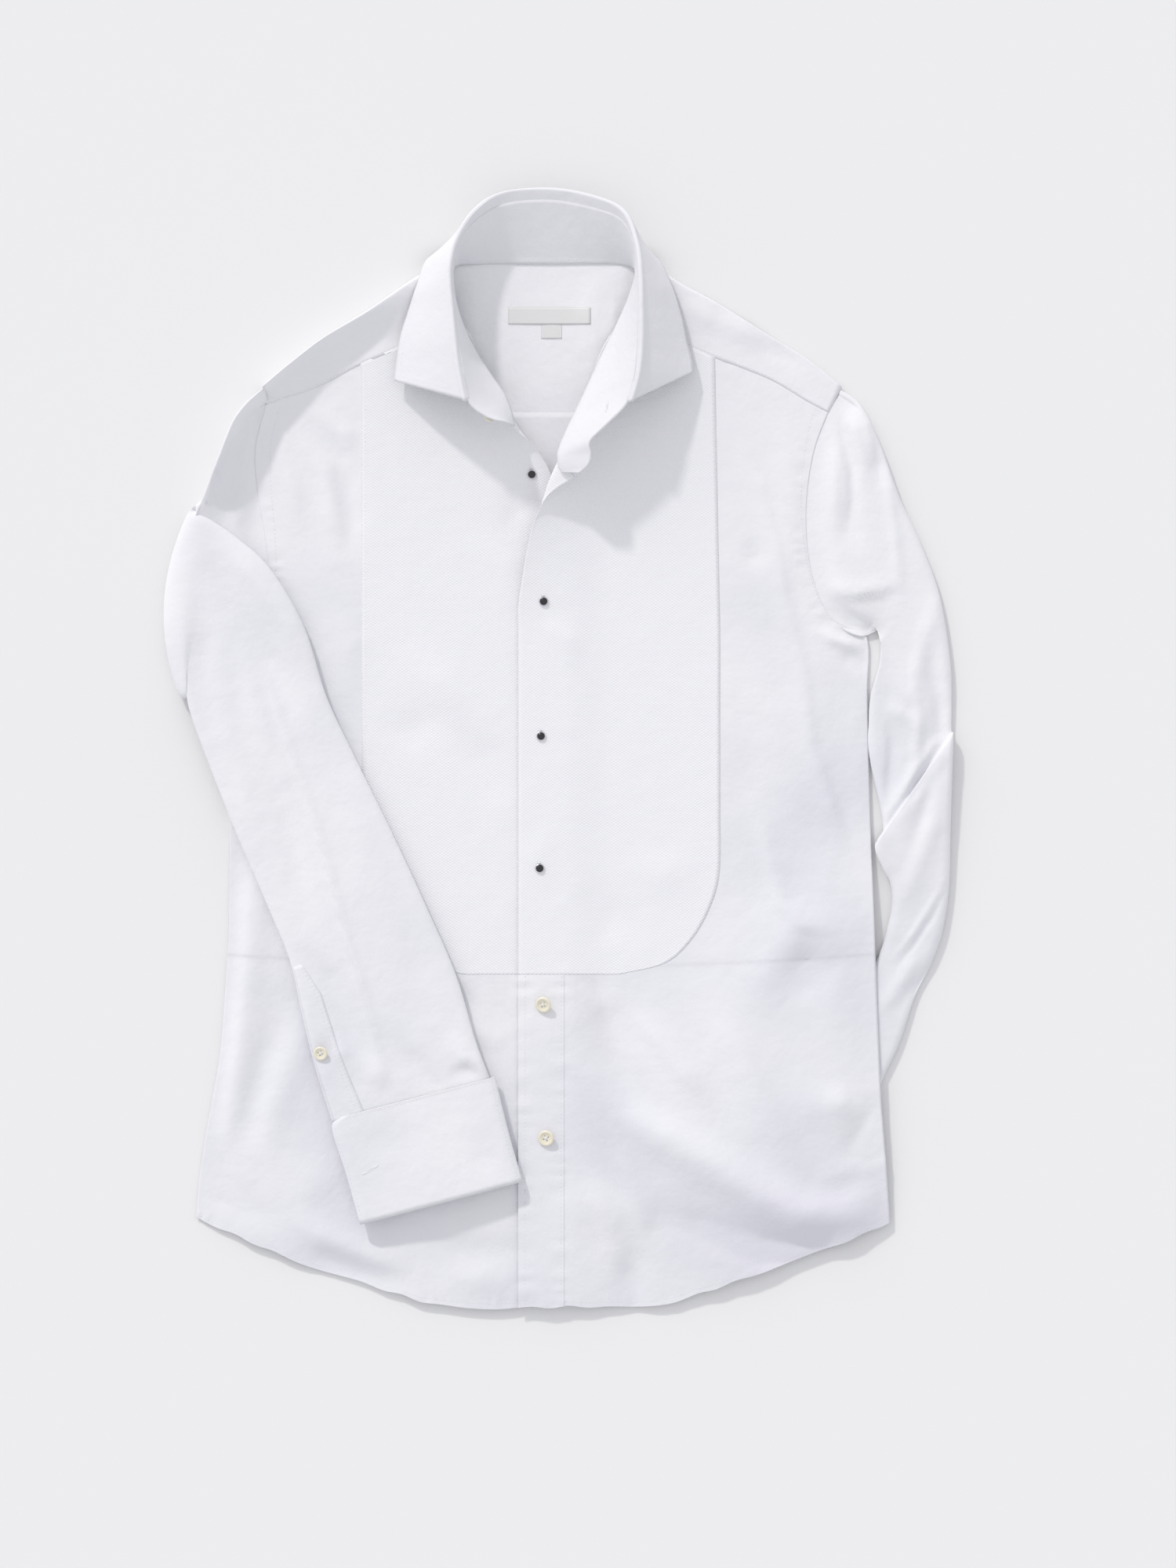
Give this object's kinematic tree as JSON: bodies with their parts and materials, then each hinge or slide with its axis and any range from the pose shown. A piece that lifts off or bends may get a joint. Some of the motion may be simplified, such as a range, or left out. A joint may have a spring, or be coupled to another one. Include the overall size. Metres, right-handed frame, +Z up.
{
  "type": "long sleeve dress shirt laid flat",
  "caption": "White evening dress shirt laid flat, honeycomb bib, studs, open cutaway collar, one sleeve bent over the front, double cuffs.",
  "frame": {"origin": "middle of the shirt's outline seen from above, on the surface it lies on", "axes": "+Y towards the collar, +X to the wearer's left sleeve, +Z up from the surface"},
  "size_m": [0.602, 0.8564, 0.0482],
  "materials": {
    "shirt_cloth": "fine white cotton poplin, matt, soft press marks",
    "bib_cloth": "white honeycomb-weave cotton, stiffened, matt",
    "label_cloth": "woven satin ribbon, soft sheen, bare",
    "pearl": "cream pearl-like polished button",
    "onyx": "polished black disc",
    "silver": "bright polished metal rim"
  },
  "bodies": {
    "root": {"bib_right": "bib_cloth", "bib_left": "bib_cloth", "cuff_right": "shirt_cloth", "cuff_left": "shirt_cloth", "label": "label_cloth", "size_tab": "label_cloth", "front_button_1": "pearl", "front_button_2": "pearl", "sleeve_button": "pearl", "collar_button": "pearl", "back": "shirt_cloth", "yoke": "shirt_cloth", "front_right": "shirt_cloth", "front_left": "shirt_cloth", "placket": "shirt_cloth", "collar_band": "shirt_cloth", "collar_leaf": "shirt_cloth", "sleeve_right": "shirt_cloth", "sleeve_placket": "shirt_cloth", "sleeve_left": "shirt_cloth", "stud_1": "onyx", "stud_1_rim": "silver", "stud_2": "onyx", "stud_2_rim": "silver", "stud_3": "onyx", "stud_3_rim": "silver", "stud_4": "onyx", "stud_4_rim": "silver"}
  },
  "joints": []
}
